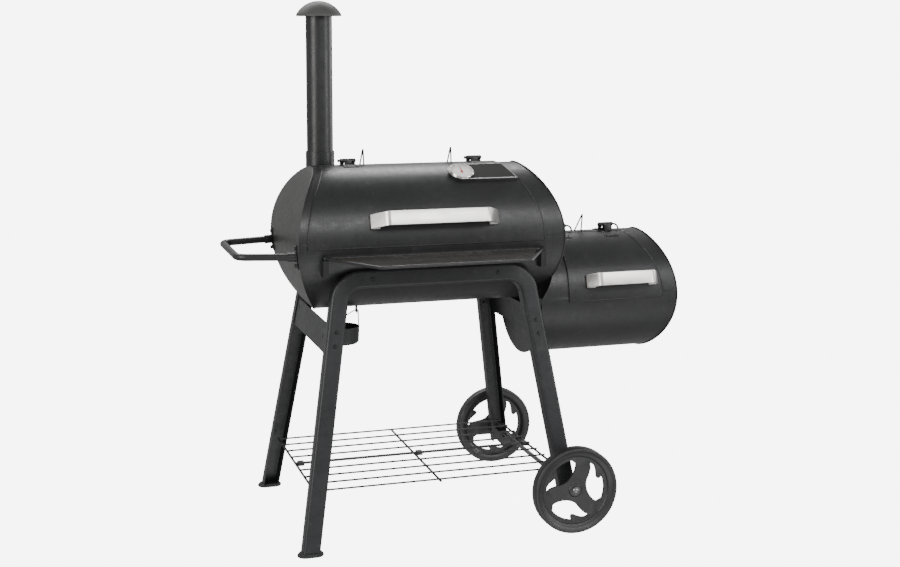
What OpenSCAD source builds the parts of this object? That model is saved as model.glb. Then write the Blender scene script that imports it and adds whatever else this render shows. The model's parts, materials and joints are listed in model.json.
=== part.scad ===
// Offset smoker: cooking chamber, firebox, chimney, splayed stand on two feet and two wheels.
// Millimetres. X runs from the handle end to the firebox, Y from the front to the back, Z up from the floor.

/* [Cooking chamber] */
// Outer radius of the chamber lid and of the end plate rims
chamber_r = 185; // [184:0.5:187]
// Height of the chamber axis above the floor
chamber_z = 746.5; // [744:0.5:748]
// Radius to which the end plates are bowed, seen from the front
bow_r = 270; // [268:1:272]
// Distance from the chamber centre to the middle of each bowed end plate
chamber_half = 352; // [350:1:353]
// Width of the fixed band between the left end plate and the lid
left_band = 24; // [20:1:26]
// Width of the fixed band between the lid and the right end plate
right_band = 58; // [54:1:62]

/* [Firebox] */
// Outer radius of the firebox lid and of its end plate rims
firebox_r = 164.4; // [163:0.2:165]
// Height of the firebox axis above the floor
firebox_z = 572.6; // [571:0.2:574]
// Distance from the chamber centre to the flat lower part of the left plate
firebox_left = 297; // [296:0.5:298]
// Distance from the chamber centre to the middle of the bowed right plate
firebox_right = 688; // [684:1:692]
// Radius to which the right plate is bowed
firebox_bow_r = 300; // [298:1:305]

/* [Chimney] */
// Outer radius of the chimney pipe
pipe_r = 34.3; // [33:0.1:34.5]
// Height of the top of the cap above the floor
overall_h = 1352.6; // [1345:0.2:1360]
// Radius of the cap
cap_r = 58.6; // [56:0.2:60]

/* [Stand] */
// Lean of each leg frame towards the middle
frame_lean = 8.7; // [8.6:0.05:8.8]
// Outward run of a leg for each millimetre of height
leg_splay = 0.16; // [0.158:0.001:0.162]
// Distance from the middle to the feet, front to back
foot_y = 275; // [274:0.5:276]
// Width of the leg and beam channel
channel_w = 44; // [43:0.5:45]
// Depth of the leg and beam channel
channel_d = 32; // [31:0.5:33]
// Height of the centre of the cross beams
beam_z = 662.2; // [661:0.2:663]

/* [Wheels and shelves] */
// Outer radius of the wheels
wheel_r = 112.4; // [110:0.2:114]
// Width of the wheels
wheel_w = 30.8; // [29:0.2:32]
// Height of the lower wire shelf
shelf_z = 146.8; // [145:0.2:149]
// Height of the front mesh shelf
front_shelf_z = 722; // [720:0.5:723]
// Reach of the front mesh shelf from the chamber axis
front_shelf_y = 358; // [340:1:370]

/* [Hidden] */

$fn = 96;
big = 600;
sheet = 2;
lap_gap = 0.4;

// Chamber shell lies just inside the lid
shell_r = chamber_r - sheet - lap_gap;
bow_x = chamber_half - bow_r;
lid_left_x = left_band - bow_x;
lid_right_x = bow_x - right_band;
lid_lap = 10;
lid_low = -3;
lid_back = 14;

// Chamber lid hinge, stops and the parts that cross the lid
pin_y = 20;
pin_z = 195.5;
pin_r = 2.5;
pin_fit = 0.06;
knuckle_r = 5.5;
hinge_w = 40;
hinge_xs = [-177, 169];
stop_xs = [-137, 103];
wire_r = 2;
handle_angle = 18.6;
handle_half = 173;
dial_x = 99;
dial_angle = 62;
dial_half = 35;

// Firebox lid, hinge and stop
fb_shell_r = firebox_r - sheet - lap_gap;
fb_bow_x = firebox_right - firebox_bow_r;
fb_lid_x = 375;
fb_lid_bow = 243;
fb_lid_bow_x = 401;
fb_lid_low = -1;
fb_lid_back = -26;
fb_pin_y = -14;
fb_pin_z = 179;
fb_hinge_xs = [402, 540];
fb_handle_x = 525;
fb_handle_half = 105;
fb_handle_angle = 17.4;
throat_r = 55;
throat_z = 655;
slot_pitch = 40;

// Chimney
pipe_x = -241;
pipe_y = 60;
pipe_top = overall_h - 30.6;
cap_h = 39;

// Grease cup
cup_x = -198;
cup_r = 44;
cup_top = 509;
cup_low = 464;
hook_x = -161;
hook_z = 549;
bail_r = 1.5;

// Stand: each leg frame is drawn flat in its own leaning plane
beam_s = beam_z / cos(frame_lean);
splay_flat = leg_splay * cos(frame_lean);
joint_s = 566 / cos(frame_lean);
joint_x = 258.5;
corner_x = joint_x - (beam_s - joint_s) * splay_flat;
elbow_start = 194.1;
elbow_r = 57;
splay_angle = atan(splay_flat);
leg_foot_z = 9;
leg_wheel_z = 77;
foot_x = joint_x + 566 * leg_splay;

// Wheels and axle
axle_z = wheel_r;
axle_x = 335;
axle_r = 6;
wheel_y = 308.6;

// Side handle
grip_x = -492;
grip_y = 123.6;
arm_y = 160;
grip_z = -22.5;
grip_r = 9;

// The origin is at the middle of the whole object, on the floor
knob_x = 24;
right_most = firebox_right + 2.3 + knob_x;
left_most = grip_x - grip_r;
front_most = -front_shelf_y - 4;
back_most = wheel_y + wheel_w / 2 + 1;
origin_x = -(right_most + left_most) / 2;
origin_y = -(front_most + back_most) / 2;

// ---------- Shared shapes ----------

// Puts a part drawn about the chamber centre into the object's frame
module placed() translate([origin_x, origin_y, 0]) children();

module at_chamber() placed() translate([0, 0, chamber_z]) children();

module at_firebox() placed() translate([0, 0, firebox_z]) children();

// Cylinder along X from x0 to x1
module xcyl(r, x0, x1) translate([x0, 0, 0]) rotate([0, 90, 0]) cylinder(r = r, h = x1 - x0);

// Cylinder along Y, centred on x
module ycyl(r, x, w = big) translate([x, 0, 0]) rotate([90, 0, 0]) cylinder(r = r, h = w, center = true);

// Block whose left and right faces bulge as arcs of radius r about axes at xl and xr
module bow_block(xl, xr, r) {
    ycyl(r, xl);
    ycyl(r, xr);
    translate([(xl + xr) / 2, 0, 0]) cube([xr - xl, big, 1.8 * r], center = true);
}

// Tube along X
module xtube(r, t) difference() {
    xcyl(r, -big, 2 * big);
    xcyl(r - t, -big - 1, 2 * big + 1);
}

// Local frame on a lid: x along X, y up round the lid, z outwards, at an elevation above the front
module on_lid(elevation) rotate([90 - elevation, 0, 0]) children();

// Rectangle with rounded corners, centred
module rounded(w, d, r) {
    square([w - 2 * r, d], center = true);
    square([w, d - 2 * r], center = true);
    for (x = [-1, 1], y = [-1, 1])
        translate([x * (w / 2 - r), y * (d / 2 - r)]) circle(r);
}

// Sweeps a flat profile along a path in the XY plane with a bend radius at each inner point.
// The bends are drawn thicker by $grow, and the straight runs end just inside them.
bend_grow = 0.15;
run_over = 0.4;

function turn(a) = a > 180 ? a - 360 : (a < -180 ? a + 360 : a);
function heading(p, i) = atan2(p[i + 1].y - p[i].y, p[i + 1].x - p[i].x);
function bend(p, i) = turn(heading(p, i) - heading(p, i - 1));
function tangent(p, radii, i) = i < 1 || i > len(p) - 2 ? 0 : radii[i - 1] * tan(abs(bend(p, i)) / 2);

module sweep(p, radii) {
    last = len(p) - 2;
    for (i = [0 : last]) {
        a = heading(p, i);
        start = tangent(p, radii, i) - (i > 0 ? run_over : 0);
        end = tangent(p, radii, i + 1) - (i < last ? run_over : 0);
        translate([p[i].x + start * cos(a), p[i].y + start * sin(a), 0]) rotate([90, 0, 90 + a])
            linear_extrude(norm(p[i + 1] - p[i]) - start - end) let($grow = 0) children();
    }
    for (i = [1 : 1 : last])
        at_bend(p, radii, i) rotate_extrude(angle = abs(bend(p, i)))
            translate([radii[i - 1], 0]) mirror([bend(p, i) > 0 ? 1 : 0, 0])
                let($grow = bend_grow) children();
}

// Centre of a bend, turned so that the bend starts on its own X axis
module at_bend(p, radii, i) {
    a = heading(p, i - 1);
    d = bend(p, i);
    r = d > 0 ? radii[i - 1] : -radii[i - 1];
    back = tangent(p, radii, i);
    translate([p[i].x - back * cos(a) - r * sin(a), p[i].y - back * sin(a) + r * cos(a), 0])
        rotate([0, 0, d > 0 ? a - 90 : a + 90 + d]) children();
}

// Straight round rod between two points
module rod(a, b, r) {
    v = b - a;
    translate(a) rotate([0, acos(v.z / norm(v)), atan2(v.y, v.x)]) cylinder(r = r, h = norm(v));
}

// Small weld bead where rods of radius r meet
module bead(p, r) translate(p) sphere(r * 1.2);

// ---------- Cooking chamber ----------

module chamber_opening() intersection() {
    bow_block(lid_left_x, lid_right_x, bow_r - lid_lap);
    translate([-big, -big, lid_low + lid_lap + 2]) cube([2 * big, big + lid_back - lid_lap, big]);
}

module cooking_chamber() at_chamber() color("#26272a") difference() {
    intersection() {
        xtube(shell_r, sheet);
        bow_block(-bow_x, bow_x, bow_r - sheet);
    }
    chamber_opening();
    translate([pipe_x, pipe_y, 0]) cylinder(r = pipe_r + 0.2, h = big);
    translate([cup_x, 0, -big]) cylinder(r = 8.2, h = big);
}

// Bowed plate on the right; the left one is its mirror image without the throat
module end_plate() intersection() {
    xcyl(chamber_r, 100, big);
    difference() {
        ycyl(bow_r, bow_x);
        ycyl(bow_r - sheet, bow_x, big + 2);
    }
}

module left_end_plate() at_chamber() color("#3a3b3d") mirror([1, 0, 0]) end_plate();

module right_end_plate() at_chamber() color("#3a3b3d") difference() {
    end_plate();
    translate([0, 0, throat_z - chamber_z]) xcyl(throat_r, 100, big);
}

grate_low = -25;
rail_in = 158;

module grate_rails() {
    at_chamber() color("#2c2c2e") intersection() {
        xcyl(shell_r - sheet, -300, 300);
        for (s = [-1, 1])
            translate([-300, s > 0 ? rail_in : -big - rail_in, grate_low]) cube([600, big, sheet]);
    }
    at_firebox() color("#2c2c2e") intersection() {
        xcyl(fb_shell_r - sheet, 340, 620);
        for (s = [-1, 1])
            translate([340, s > 0 ? 124 : -big - 124, -75]) cube([280, big, sheet]);
    }
}

// Welded rod grate: bars along Y on two cross rods, all inside a rod frame
module rod_grate(x0, x1, half_y, bars) {
    frame_r = 3;
    bar_r = 2;
    for (x = [x0 + frame_r, x1 - frame_r])
        rod([x, -half_y, 0], [x, half_y, 0], frame_r);
    for (y = [-half_y + frame_r, half_y - frame_r])
        rod([x0 + frame_r, y, 0], [x1 - frame_r, y, 0], frame_r);
    for (i = [1 : bars])
        rod([x0 + (x1 - x0) * i / (bars + 1), -half_y + frame_r, 0.6],
            [x0 + (x1 - x0) * i / (bars + 1), half_y - frame_r, 0.6], bar_r);
}

module cooking_grates() at_chamber() color("#77787a") translate([0, 0, grate_low + sheet + 3]) {
    rod_grate(-292, -3, 172, 15);
    rod_grate(3, 292, 172, 15);
}

module chimney_collar() at_chamber() color("#242527") difference() {
    translate([pipe_x, pipe_y, 100]) cylinder(r = pipe_r + 3.2, h = 118.5);
    translate([pipe_x, pipe_y, 99]) cylinder(r = pipe_r + 0.1, h = 200);
    xcyl(shell_r, -big, big);
}

module chimney_pipe() placed() color("#242527") translate([pipe_x, pipe_y, 0]) difference() {
    translate([0, 0, chamber_z + 160]) cylinder(r = pipe_r, h = pipe_top - chamber_z - 160);
    cylinder(r = pipe_r - 1.5, h = 2 * big + 200);
}

// Domed cap on three spring legs that grip the inside of the pipe
module chimney_cap() placed() color("#4b4b4c") translate([pipe_x, pipe_y, overall_h - cap_h]) {
    lip = 4;
    rise = cap_h - lip;
    dome_r = (cap_r * cap_r + rise * rise) / (2 * rise);
    difference() {
        union() {
            cylinder(r = cap_r, h = lip);
            intersection() {
                translate([0, 0, cap_h - dome_r]) sphere(dome_r);
                translate([0, 0, lip]) cylinder(r = cap_r + 1, h = rise);
            }
        }
        translate([0, 0, -1]) cylinder(r = cap_r - sheet, h = lip + 1);
        intersection() {
            translate([0, 0, cap_h - dome_r]) sphere(dome_r - sheet);
            translate([0, 0, lip]) cylinder(r = cap_r - sheet, h = rise);
        }
    }
    for (a = [30, 150, 270])
        rotate([0, 0, a]) translate([pipe_r - 1.5 - 1.9, -4, -40])
            cube([1.5, 8, 40 + cap_h - dome_r + sqrt(pow(dome_r - sheet, 2) - pow(pipe_r, 2)) + 0.6]);
}

// Short drain spout and the eye plate that the cup hangs from
module grease_drain() at_chamber() color("#2c2c2e") {
    difference() {
        translate([cup_x, 0, -shell_r - 16]) cylinder(r = 8, h = 20);
        translate([cup_x, 0, -shell_r - 17]) cylinder(r = 6.5, h = 30);
    }
    difference() {
        translate([hook_x - 1.5, -7, hook_z - chamber_z - 6]) cube([3, 14, 24]);
        xcyl(shell_r, -big, big);
        translate([0, 0, hook_z - chamber_z]) xcyl(bail_r + pin_fit, hook_x - 5, hook_x + 5);
    }
}

// Inverted-V wires that hold an open lid off the chimney and the hinges
module lid_stops() color("#202123") {
    at_chamber() for (x = stop_xs) {
        for (s = [-1, 1]) rod([x + s * 5.5, 28, 181], [x + s * 0.6, 16.5, 223], wire_r);
        bead([x, 16.5, 223], wire_r);
    }
    at_firebox() {
        for (s = [-1, 1]) rod([469 + s * 9.5, 8, 162.5], [469 + s * 0.6, -19, 208], wire_r);
        bead([469, -19, 208], wire_r);
    }
}

// One hinge leaf: a strip bent round the shell, a riser and its knuckles, pin along X at (py, pz)
module leaf(x, w, r, py, pz, y0, y1, riser_y, knuckles) difference() {
    union() {
        intersection() {
            difference() {
                xcyl(r + sheet, x - w / 2, x + w / 2);
                xcyl(r, x - w, x + w);
            }
            translate([x - w, y0, 0]) cube([2 * w, y1 - y0, big]);
        }
        for (k = knuckles) {
            translate([0, py, pz]) xcyl(knuckle_r, x + k[0], x + k[1]);
            difference() {
                translate([x + k[0], min(riser_y, py), r - 12])
                    cube([k[1] - k[0], abs(py - riser_y), pz - r + 12]);
                xcyl(r, x - w, x + w);
            }
        }
    }
    translate([0, py, pz]) xcyl(pin_r + pin_fit, x - w, x + w);
}

outer_knuckles = [[-20, -9.5], [9.5, 20]];
inner_knuckle = [[-9, 9]];

module hinge_base_leaves() color("#1e1f21") {
    at_chamber() for (x = hinge_xs)
        leaf(x, hinge_w, shell_r, pin_y, pin_z, pin_y + 4, 58, pin_y + knuckle_r, outer_knuckles);
    at_firebox() for (x = fb_hinge_xs)
        leaf(x, hinge_w, fb_shell_r, fb_pin_y, fb_pin_z, fb_pin_y + 3, 28, fb_pin_y + knuckle_r,
             outer_knuckles);
}

module chamber_hinge_leaves() at_chamber() color("#1e1f21") for (x = hinge_xs)
    leaf(x, hinge_w, chamber_r, pin_y, pin_z, -30, lid_back - 0.5, pin_y - knuckle_r - 2, inner_knuckle);

module firebox_hinge_leaves() at_firebox() color("#1e1f21") for (x = fb_hinge_xs)
    leaf(x, hinge_w, firebox_r, fb_pin_y, fb_pin_z, -62, fb_lid_back - 0.5, fb_lid_back - 4, inner_knuckle);

// Pins with a button head on the left end and, on the firebox, a tail curled down on the right
module hinge_pins() color("#3c3d40") {
    at_chamber() for (x = hinge_xs) translate([0, pin_y, pin_z]) {
        xcyl(pin_r, x - 24, x + 22);
        translate([x - 24, 0, 0]) sphere(4);
    }
    at_firebox() for (x = fb_hinge_xs) translate([x, fb_pin_y, fb_pin_z]) {
        xcyl(pin_r, -23, 24);
        translate([24, 0, -14]) rotate([90, 0, 0]) rotate_extrude(angle = 90)
            translate([14, 0]) circle(pin_r);
    }
}

// ---------- Chamber lid ----------

handle_screw_x = handle_half - 15;
screw_hole_r = 2.6;

module chamber_lid() at_chamber() color("#232427") difference() {
    intersection() {
        xtube(chamber_r, sheet);
        bow_block(lid_left_x, lid_right_x, bow_r);
        translate([-big, -big, lid_low]) cube([2 * big, big + lid_back, big]);
    }
    on_lid(dial_angle) translate([dial_x, 0, 0]) cylinder(r = 5.2, h = big);
    on_lid(handle_angle) for (s = [-1, 1])
        translate([s * handle_screw_x, 0, 0]) cylinder(r = screw_hole_r, h = big);
}

// Flat strap bent to a handle; x and reach are measured in the lid's own section
module strap_handle(mid, half, r, reach, splay, height) on_lid(0) rotate([90, 0, 0]) {
    foot = r + 1.7;
    sweep([[mid - half + 26, foot], [mid - half, foot], [mid - half + splay, r + reach],
           [mid + half - splay, r + reach], [mid + half, foot], [mid + half - 26, foot]], [4, 12, 12, 4])
        square([3 + 2 * $grow, height + 2 * $grow], center = true);
}

module chamber_lid_handle() at_chamber() color("#c9c7c2") rotate([-handle_angle, 0, 0]) difference() {
    strap_handle(0, handle_half, chamber_r, 48, 38, 36);
    on_lid(0) for (s = [-1, 1])
        translate([s * handle_screw_x, 0, 0]) cylinder(r = screw_hole_r, h = chamber_r + 6);
}

// Pan-head screw from inside the lid with a nut outside the handle foot
module lid_screw(x, r) translate([x, 0, 0]) {
    translate([0, 0, r - sheet - 2.9]) cylinder(r = 5, h = 2.6);
    translate([0, 0, r - sheet - 0.4]) cylinder(r = 2.4, h = 11);
    translate([0, 0, r + 3.3]) cylinder(r = 4.6, h = 3.5, $fn = 6);
}

module chamber_handle_screws() at_chamber() color("#8d8e90") on_lid(handle_angle)
    for (s = [-1, 1]) lid_screw(s * handle_screw_x, chamber_r);

// Outline of the thermometer case: round at the dial, slanted along the lid seam at the right
module case_outline(inset) {
    h = dial_half - inset;
    circle(h);
    polygon([[0, -h], [143 - inset * 1.1, -h], [120 - inset * 1.1, h], [0, h]]);
}

module thermometer_case() at_chamber() color("#2b2c2e") difference() {
    on_lid(dial_angle) translate([dial_x, 0, 170]) linear_extrude(22) case_outline(0);
    xcyl(chamber_r, -big, big);
    on_lid(dial_angle) translate([dial_x, 0, 0]) cylinder(r = 3.2, h = big);
}

module thermometer_stem() at_chamber() color("#b5b5b2") on_lid(dial_angle) translate([dial_x, 0, 0]) {
    translate([0, 0, 122]) cylinder(r = 3, h = 70);
    translate([0, 0, chamber_r - sheet - 5.5]) difference() {
        cylinder(r = 8, h = 4, $fn = 6);
        translate([0, 0, -1]) cylinder(r = 3, h = 6);
    }
}

module thermometer_dial() at_chamber() color("#e8e6df") on_lid(dial_angle) translate([dial_x, 0, 192])
    difference() {
        cylinder(r = 28, h = 1);
        translate([0, 0, 0.4]) cylinder(r = 1.6, h = 2);
    }

module thermometer_bezel() at_chamber() color("#d8d6d0") on_lid(dial_angle) translate([dial_x, 0, 192])
    rotate_extrude() polygon([[28.1, 0], [32, 0], [32, 3], [30.5, 5], [28.6, 5], [28.1, 3]]);

module badge_trim() at_chamber() color("#cfcdc7") on_lid(dial_angle) translate([dial_x, 0, 192])
    linear_extrude(1) difference() {
        case_outline(0);
        case_outline(3);
        circle(32.1);
    }

module thermometer_needle() at_chamber() color("#b3261e") on_lid(dial_angle) translate([dial_x, 0, 192]) {
    translate([0, 0, 1.3]) linear_extrude(0.8) polygon([[-1.6, -8], [1.6, -8], [0.5, 22], [-0.5, 22]]);
    translate([0, 0, 0.6]) cylinder(r = 1.54, h = 1);
    translate([0, 0, 1.3]) cylinder(r = 3, h = 1.6);
}

// ---------- Side handle ----------

grip_wall = 1.5;
grip_bends = [32, 32];
arm_gap = 7;
arm_run = (arm_y - grip_y) / (-chamber_half - grip_x);

// Point on an arm's axis, a distance out from the end plate
function arm_point(s, out) = [-chamber_half - out, s * (arm_y - out * arm_run)];
function grip_path(out) = [arm_point(-1, out), [grip_x, -grip_y], [grip_x, grip_y], arm_point(1, out)];

module side_handle() at_chamber() color("#232427") translate([0, 0, grip_z]) difference() {
    sweep(grip_path(arm_gap), grip_bends) circle(grip_r + $grow);
    sweep(grip_path(arm_gap - 1), grip_bends) circle(grip_r - grip_wall + $grow);
}

module side_handle_flanges() at_chamber() color("#232427") for (s = [-1, 1]) {
    intersection() {
        difference() {
            ycyl(bow_r + 3, -bow_x);
            ycyl(bow_r, -bow_x, big + 2);
        }
        translate([-big, s * arm_y - 8, grip_z - 30]) cube([big - 200, 16, 60]);
    }
    for (z = [-22, 22])
        translate([0, s * arm_y, grip_z + z]) difference() {
            xcyl(4.5, -chamber_half - 5.5, -chamber_half + 8);
            translate([0, 0, -grip_z - z]) ycyl(bow_r + 2, -bow_x);
        }
    difference() {
        translate([arm_point(s, arm_gap).x, arm_point(s, arm_gap).y, grip_z])
            rotate([0, 90, s * atan(arm_run)]) difference() {
                translate([0, 0, -14]) cylinder(r = grip_r + 2.5, h = 34);
                translate([0, 0, -15]) cylinder(r = grip_r, h = 15);
            }
        ycyl(bow_r + 2, -bow_x);
    }
}

// ---------- Front shelf ----------

shelf_back_x = 286;
shelf_front_x = 190;
shelf_hook_y = 192;
shelf_rod_r = 4;
shelf_leg_r = 3.8;

module front_shelf_brackets() at_chamber() color("#222326") for (s = [-1, 1]) difference() {
    translate([s * shelf_back_x - 7, -shelf_hook_y - 7, -72]) cube([14, 40, 42]);
    xcyl(shell_r, -big, big);
    translate([s * shelf_back_x, -shelf_hook_y, -big]) cylinder(r = shelf_leg_r + pin_fit, h = big);
}

module front_shelf_frame() placed() color("#2a2b2c") translate([0, 0, front_shelf_z]) {
    sweep([[-shelf_back_x, -shelf_hook_y], [-shelf_front_x, -front_shelf_y],
           [shelf_front_x, -front_shelf_y], [shelf_back_x, -shelf_hook_y]], [14, 14])
        circle(shelf_rod_r + $grow);
    rod([-shelf_back_x + 4, -shelf_hook_y, 0], [shelf_back_x - 4, -shelf_hook_y, 0], shelf_rod_r - 0.4);
    for (s = [-1, 1]) translate([s * shelf_back_x, -shelf_hook_y, 0]) {
        sphere(shelf_rod_r + 1.4);
        translate([0, 0, -32]) cylinder(r = shelf_leg_r, h = 32);
    }
}

module front_shelf_mesh() placed() color("#45443f") translate([0, 0, front_shelf_z - 1]) linear_extrude(2)
    polygon([[-shelf_back_x + 12, -shelf_hook_y - 4.1], [-shelf_front_x + 3, -front_shelf_y + 4.1],
             [shelf_front_x - 3, -front_shelf_y + 4.1], [shelf_back_x - 12, -shelf_hook_y - 4.1]]);

// ---------- Firebox ----------

// Space to the right of the firebox's left end: flat below, following the chamber end above
module right_of_side(g) difference() {
    translate([firebox_left + g, -big, -big]) cube([big, 2 * big, 2 * big]);
    translate([0, 0, chamber_z - firebox_z]) ycyl(bow_r + 0.2 + g, bow_x, 3 * big);
}

module firebox_body() at_firebox() color("#26272a") difference() {
    intersection() {
        xtube(fb_shell_r, sheet);
        right_of_side(sheet);
        bow_block(fb_bow_x - 100, fb_bow_x, firebox_bow_r - sheet);
    }
    intersection() {
        ycyl(fb_lid_bow - lid_lap, fb_lid_bow_x);
        translate([fb_lid_x + lid_lap, -big, fb_lid_low + lid_lap + 2])
            cube([big, big + fb_lid_back - lid_lap, big]);
    }
}

module firebox_left_plate() at_firebox() color("#2e2f32") difference() {
    intersection() {
        xcyl(firebox_r, 280, 420);
        right_of_side(0);
    }
    right_of_side(sheet);
    translate([0, 0, throat_z - firebox_z]) xcyl(throat_r, 100, big);
}

module firebox_right_plate() at_firebox() color("#3a3b3d") difference() {
    intersection() {
        xcyl(firebox_r, fb_bow_x + 100, 2 * big);
        difference() {
            ycyl(firebox_bow_r, fb_bow_x);
            ycyl(firebox_bow_r - sheet, fb_bow_x, big + 2);
        }
    }
    for (i = [-1 : 1])
        translate([fb_bow_x, i * slot_pitch - 9, -25]) cube([big, 18, 50]);
}

module charcoal_grate() at_firebox() color("#6c6d6f") translate([0, 0, -75 + sheet + 3])
    rod_grate(345, 615, 136, 11);

module firebox_lid() at_firebox() color("#232427") difference() {
    intersection() {
        xtube(firebox_r, sheet);
        ycyl(fb_lid_bow, fb_lid_bow_x);
        translate([fb_lid_x, -big, fb_lid_low]) cube([big, big + fb_lid_back, big]);
    }
    on_lid(fb_handle_angle) for (s = [-1, 1])
        translate([fb_handle_x + s * (fb_handle_half - 15), 0, 0]) cylinder(r = 2.6, h = big);
}

module firebox_lid_handle() at_firebox() color("#c9c7c2") rotate([-fb_handle_angle, 0, 0]) difference() {
    strap_handle(fb_handle_x, fb_handle_half, firebox_r, 44, 28, 34);
    on_lid(0) for (s = [-1, 1])
        translate([fb_handle_x + s * (fb_handle_half - 15), 0, 0]) cylinder(r = 2.6, h = firebox_r + 6);
}

module firebox_handle_screws() at_firebox() color("#8d8e90") on_lid(fb_handle_angle)
    for (s = [-1, 1]) lid_screw(fb_handle_x + s * (fb_handle_half - 15), firebox_r);

// Two guides along Y that hold the air slider against the bowed plate
module air_slider_rails() at_firebox() color("#2c2c2e") for (s = [-1, 1]) intersection() {
    union() {
        difference() {
            ycyl(firebox_bow_r + 2.8, fb_bow_x, 170);
            ycyl(firebox_bow_r, fb_bow_x, 200);
            cube([3 * big, 300, 83], center = true);
        }
        difference() {
            ycyl(firebox_bow_r + 4.2, fb_bow_x, 170);
            ycyl(firebox_bow_r + 2.8, fb_bow_x, 200);
            cube([3 * big, 300, 70], center = true);
        }
    }
    translate([fb_bow_x, -100, s > 0 ? 30 : -50]) cube([big, 200, 20]);
}

module air_slider() at_firebox() color("#3b3c3e") {
    difference() {
        intersection() {
            difference() {
                ycyl(firebox_bow_r + 2.3, fb_bow_x, 170);
                ycyl(firebox_bow_r + 0.3, fb_bow_x, 200);
            }
            translate([fb_bow_x, -78, -41]) cube([big, 136, 82]);
        }
        for (i = [-1 : 1])
            translate([fb_bow_x, i * slot_pitch - slot_pitch / 2 - 9, -25]) cube([big, 18, 50]);
    }
    translate([firebox_right + 1.5, 0, 0]) rotate([0, 90, 0]) {
        cylinder(r = 5, h = 12);
        translate([0, 0, 12]) cylinder(r1 = 7, r2 = 11, h = 6);
        translate([0, 0, 18]) cylinder(r = 11, h = knob_x - 17.2);
    }
}

// ---------- Stand ----------

// Puts a drawing in the leaning plane of the front frame; side 1 gives the rear frame
module in_frame(rear) placed() mirror([0, rear, 0]) translate([0, -foot_y, 0])
    rotate([90 - frame_lean, 0, 0]) children();

channel_t = 2.5;
channel_edge_r = 8;

// Open channel: the web faces outwards, with rounded outer edges
module channel() difference() {
    w = channel_w + 2 * $grow;
    d = channel_d + 2 * $grow;
    t = channel_t + 2 * $grow;
    union() {
        rounded(w, d, channel_edge_r);
        translate([-w / 2, -d / 2]) square([w, d / 2]);
    }
    rounded(w - 2 * t, d - 2 * t, channel_edge_r - channel_t);
    translate([-w / 2 + t, -d]) square([w - 2 * t, d]);
}

tongue_z = channel_d / 2 - channel_t;
tongue = 3;
tongue_root = 10;

// Flat tongue along +X from an elbow's end, with a thicker root sunk into the elbow's web
module tongue_bar(run) {
    translate([-1, -15, tongue_z - tongue]) cube([run + 1, 30, tongue]);
    translate([-tongue_root, -15, tongue_z - tongue]) cube([tongue_root - 0.2, 30, tongue + 1]);
}
beam_screw_x = elbow_start - 29;
leg_dir = [-sin(splay_angle), -cos(splay_angle)];
leg_top = [-joint_x, joint_s];
screw_steps = [30, 65];

// Screw places on the left half of a frame, in its plane
function screw_points() = concat([[-beam_screw_x, beam_s]], [for (d = screw_steps) leg_top + leg_dir * d]);

module screw_holes() for (m = [0, 1]) mirror([m, 0, 0])
    for (p = screw_points()) translate([p.x, p.y, 0]) cylinder(r = 2.7, h = channel_d);

module chamber_cut() at_chamber() xcyl(shell_r + 0.1, -big, big);

module beam(rear) difference() {
    in_frame(rear) difference() {
        sweep([[elbow_start, beam_s], [-elbow_start, beam_s]], []) channel();
        screw_holes();
    }
    chamber_cut();
}

module front_beam() color("#2a2b2e") beam(0);

module rear_beam() color("#2a2b2e") beam(1);

// Corner piece with tongues that reach into the beam and the leg behind their webs
module elbow(right, rear) difference() {
    in_frame(rear) mirror([right, 0, 0]) difference() {
        union() {
            sweep([[-elbow_start, beam_s], [-corner_x, beam_s], leg_top], [elbow_r]) channel();
            translate([-elbow_start, beam_s, 0]) tongue_bar(45);
            translate([leg_top.x, leg_top.y, 0]) rotate([0, 0, -90 - splay_angle]) tongue_bar(80);
        }
        screw_holes();
    }
    chamber_cut();
}

module front_left_elbow() color("#2c2d30") elbow(0, 0);

module front_right_elbow() color("#2c2d30") elbow(1, 0);

module rear_left_elbow() color("#2c2d30") elbow(0, 1);

module rear_right_elbow() color("#2c2d30") elbow(1, 1);

module leg(right, rear, cut_z) difference() {
    in_frame(rear) mirror([right, 0, 0]) difference() {
        sweep([leg_top, leg_top + leg_dir * 620], []) channel();
        screw_holes();
    }
    translate([-2 * big, -2 * big, -2 * big]) cube([4 * big, 4 * big, 2 * big + cut_z]);
    axle_hole();
}

module axle_hole() placed() translate([axle_x, 0, axle_z]) ycyl(axle_r + 0.2, 0, 3 * big);

module front_left_leg() color("#2a2b2e") leg(0, 0, leg_foot_z);

module front_right_leg() color("#2a2b2e") leg(1, 0, leg_wheel_z);

module rear_left_leg() color("#2a2b2e") leg(0, 1, leg_foot_z);

module rear_right_leg() color("#2a2b2e") leg(1, 1, leg_wheel_z);

module stadium(l, w, h) linear_extrude(h) {
    square([l - w, w], center = true);
    for (s = [-1, 1]) translate([s * (l - w) / 2, 0]) circle(w / 2);
}

module left_feet() placed() color("#1f2022") for (s = [-1, 1]) translate([-foot_x, s * foot_y, 0]) {
    stadium(66, 41, 5);
    translate([0, 0, 5]) stadium(58, 38, leg_foot_z - 5);
}

side_plate_x = -joint_x - 19.1;
side_plate_z = 482;
side_plate_h = 74;

// Straight plate behind the outer flanges of two legs, with a hole and a slot
module side_plate() translate([side_plate_x, 0, 566]) rotate([0, atan(leg_splay), 0])
    translate([0, 0, side_plate_z - 566]) rotate([90, 0, 90]) linear_extrude(sheet) difference() {
        polygon([[-207, 0], [207, 0], [196, side_plate_h], [-196, side_plate_h]]);
        translate([150, side_plate_h - 20]) circle(4);
        translate([-150, side_plate_h / 2]) square([4, 14], center = true);
    }

module left_side_plate() placed() color("#37383a") side_plate();

module right_side_plate() placed() color("#37383a") mirror([1, 0, 0]) side_plate();

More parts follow.
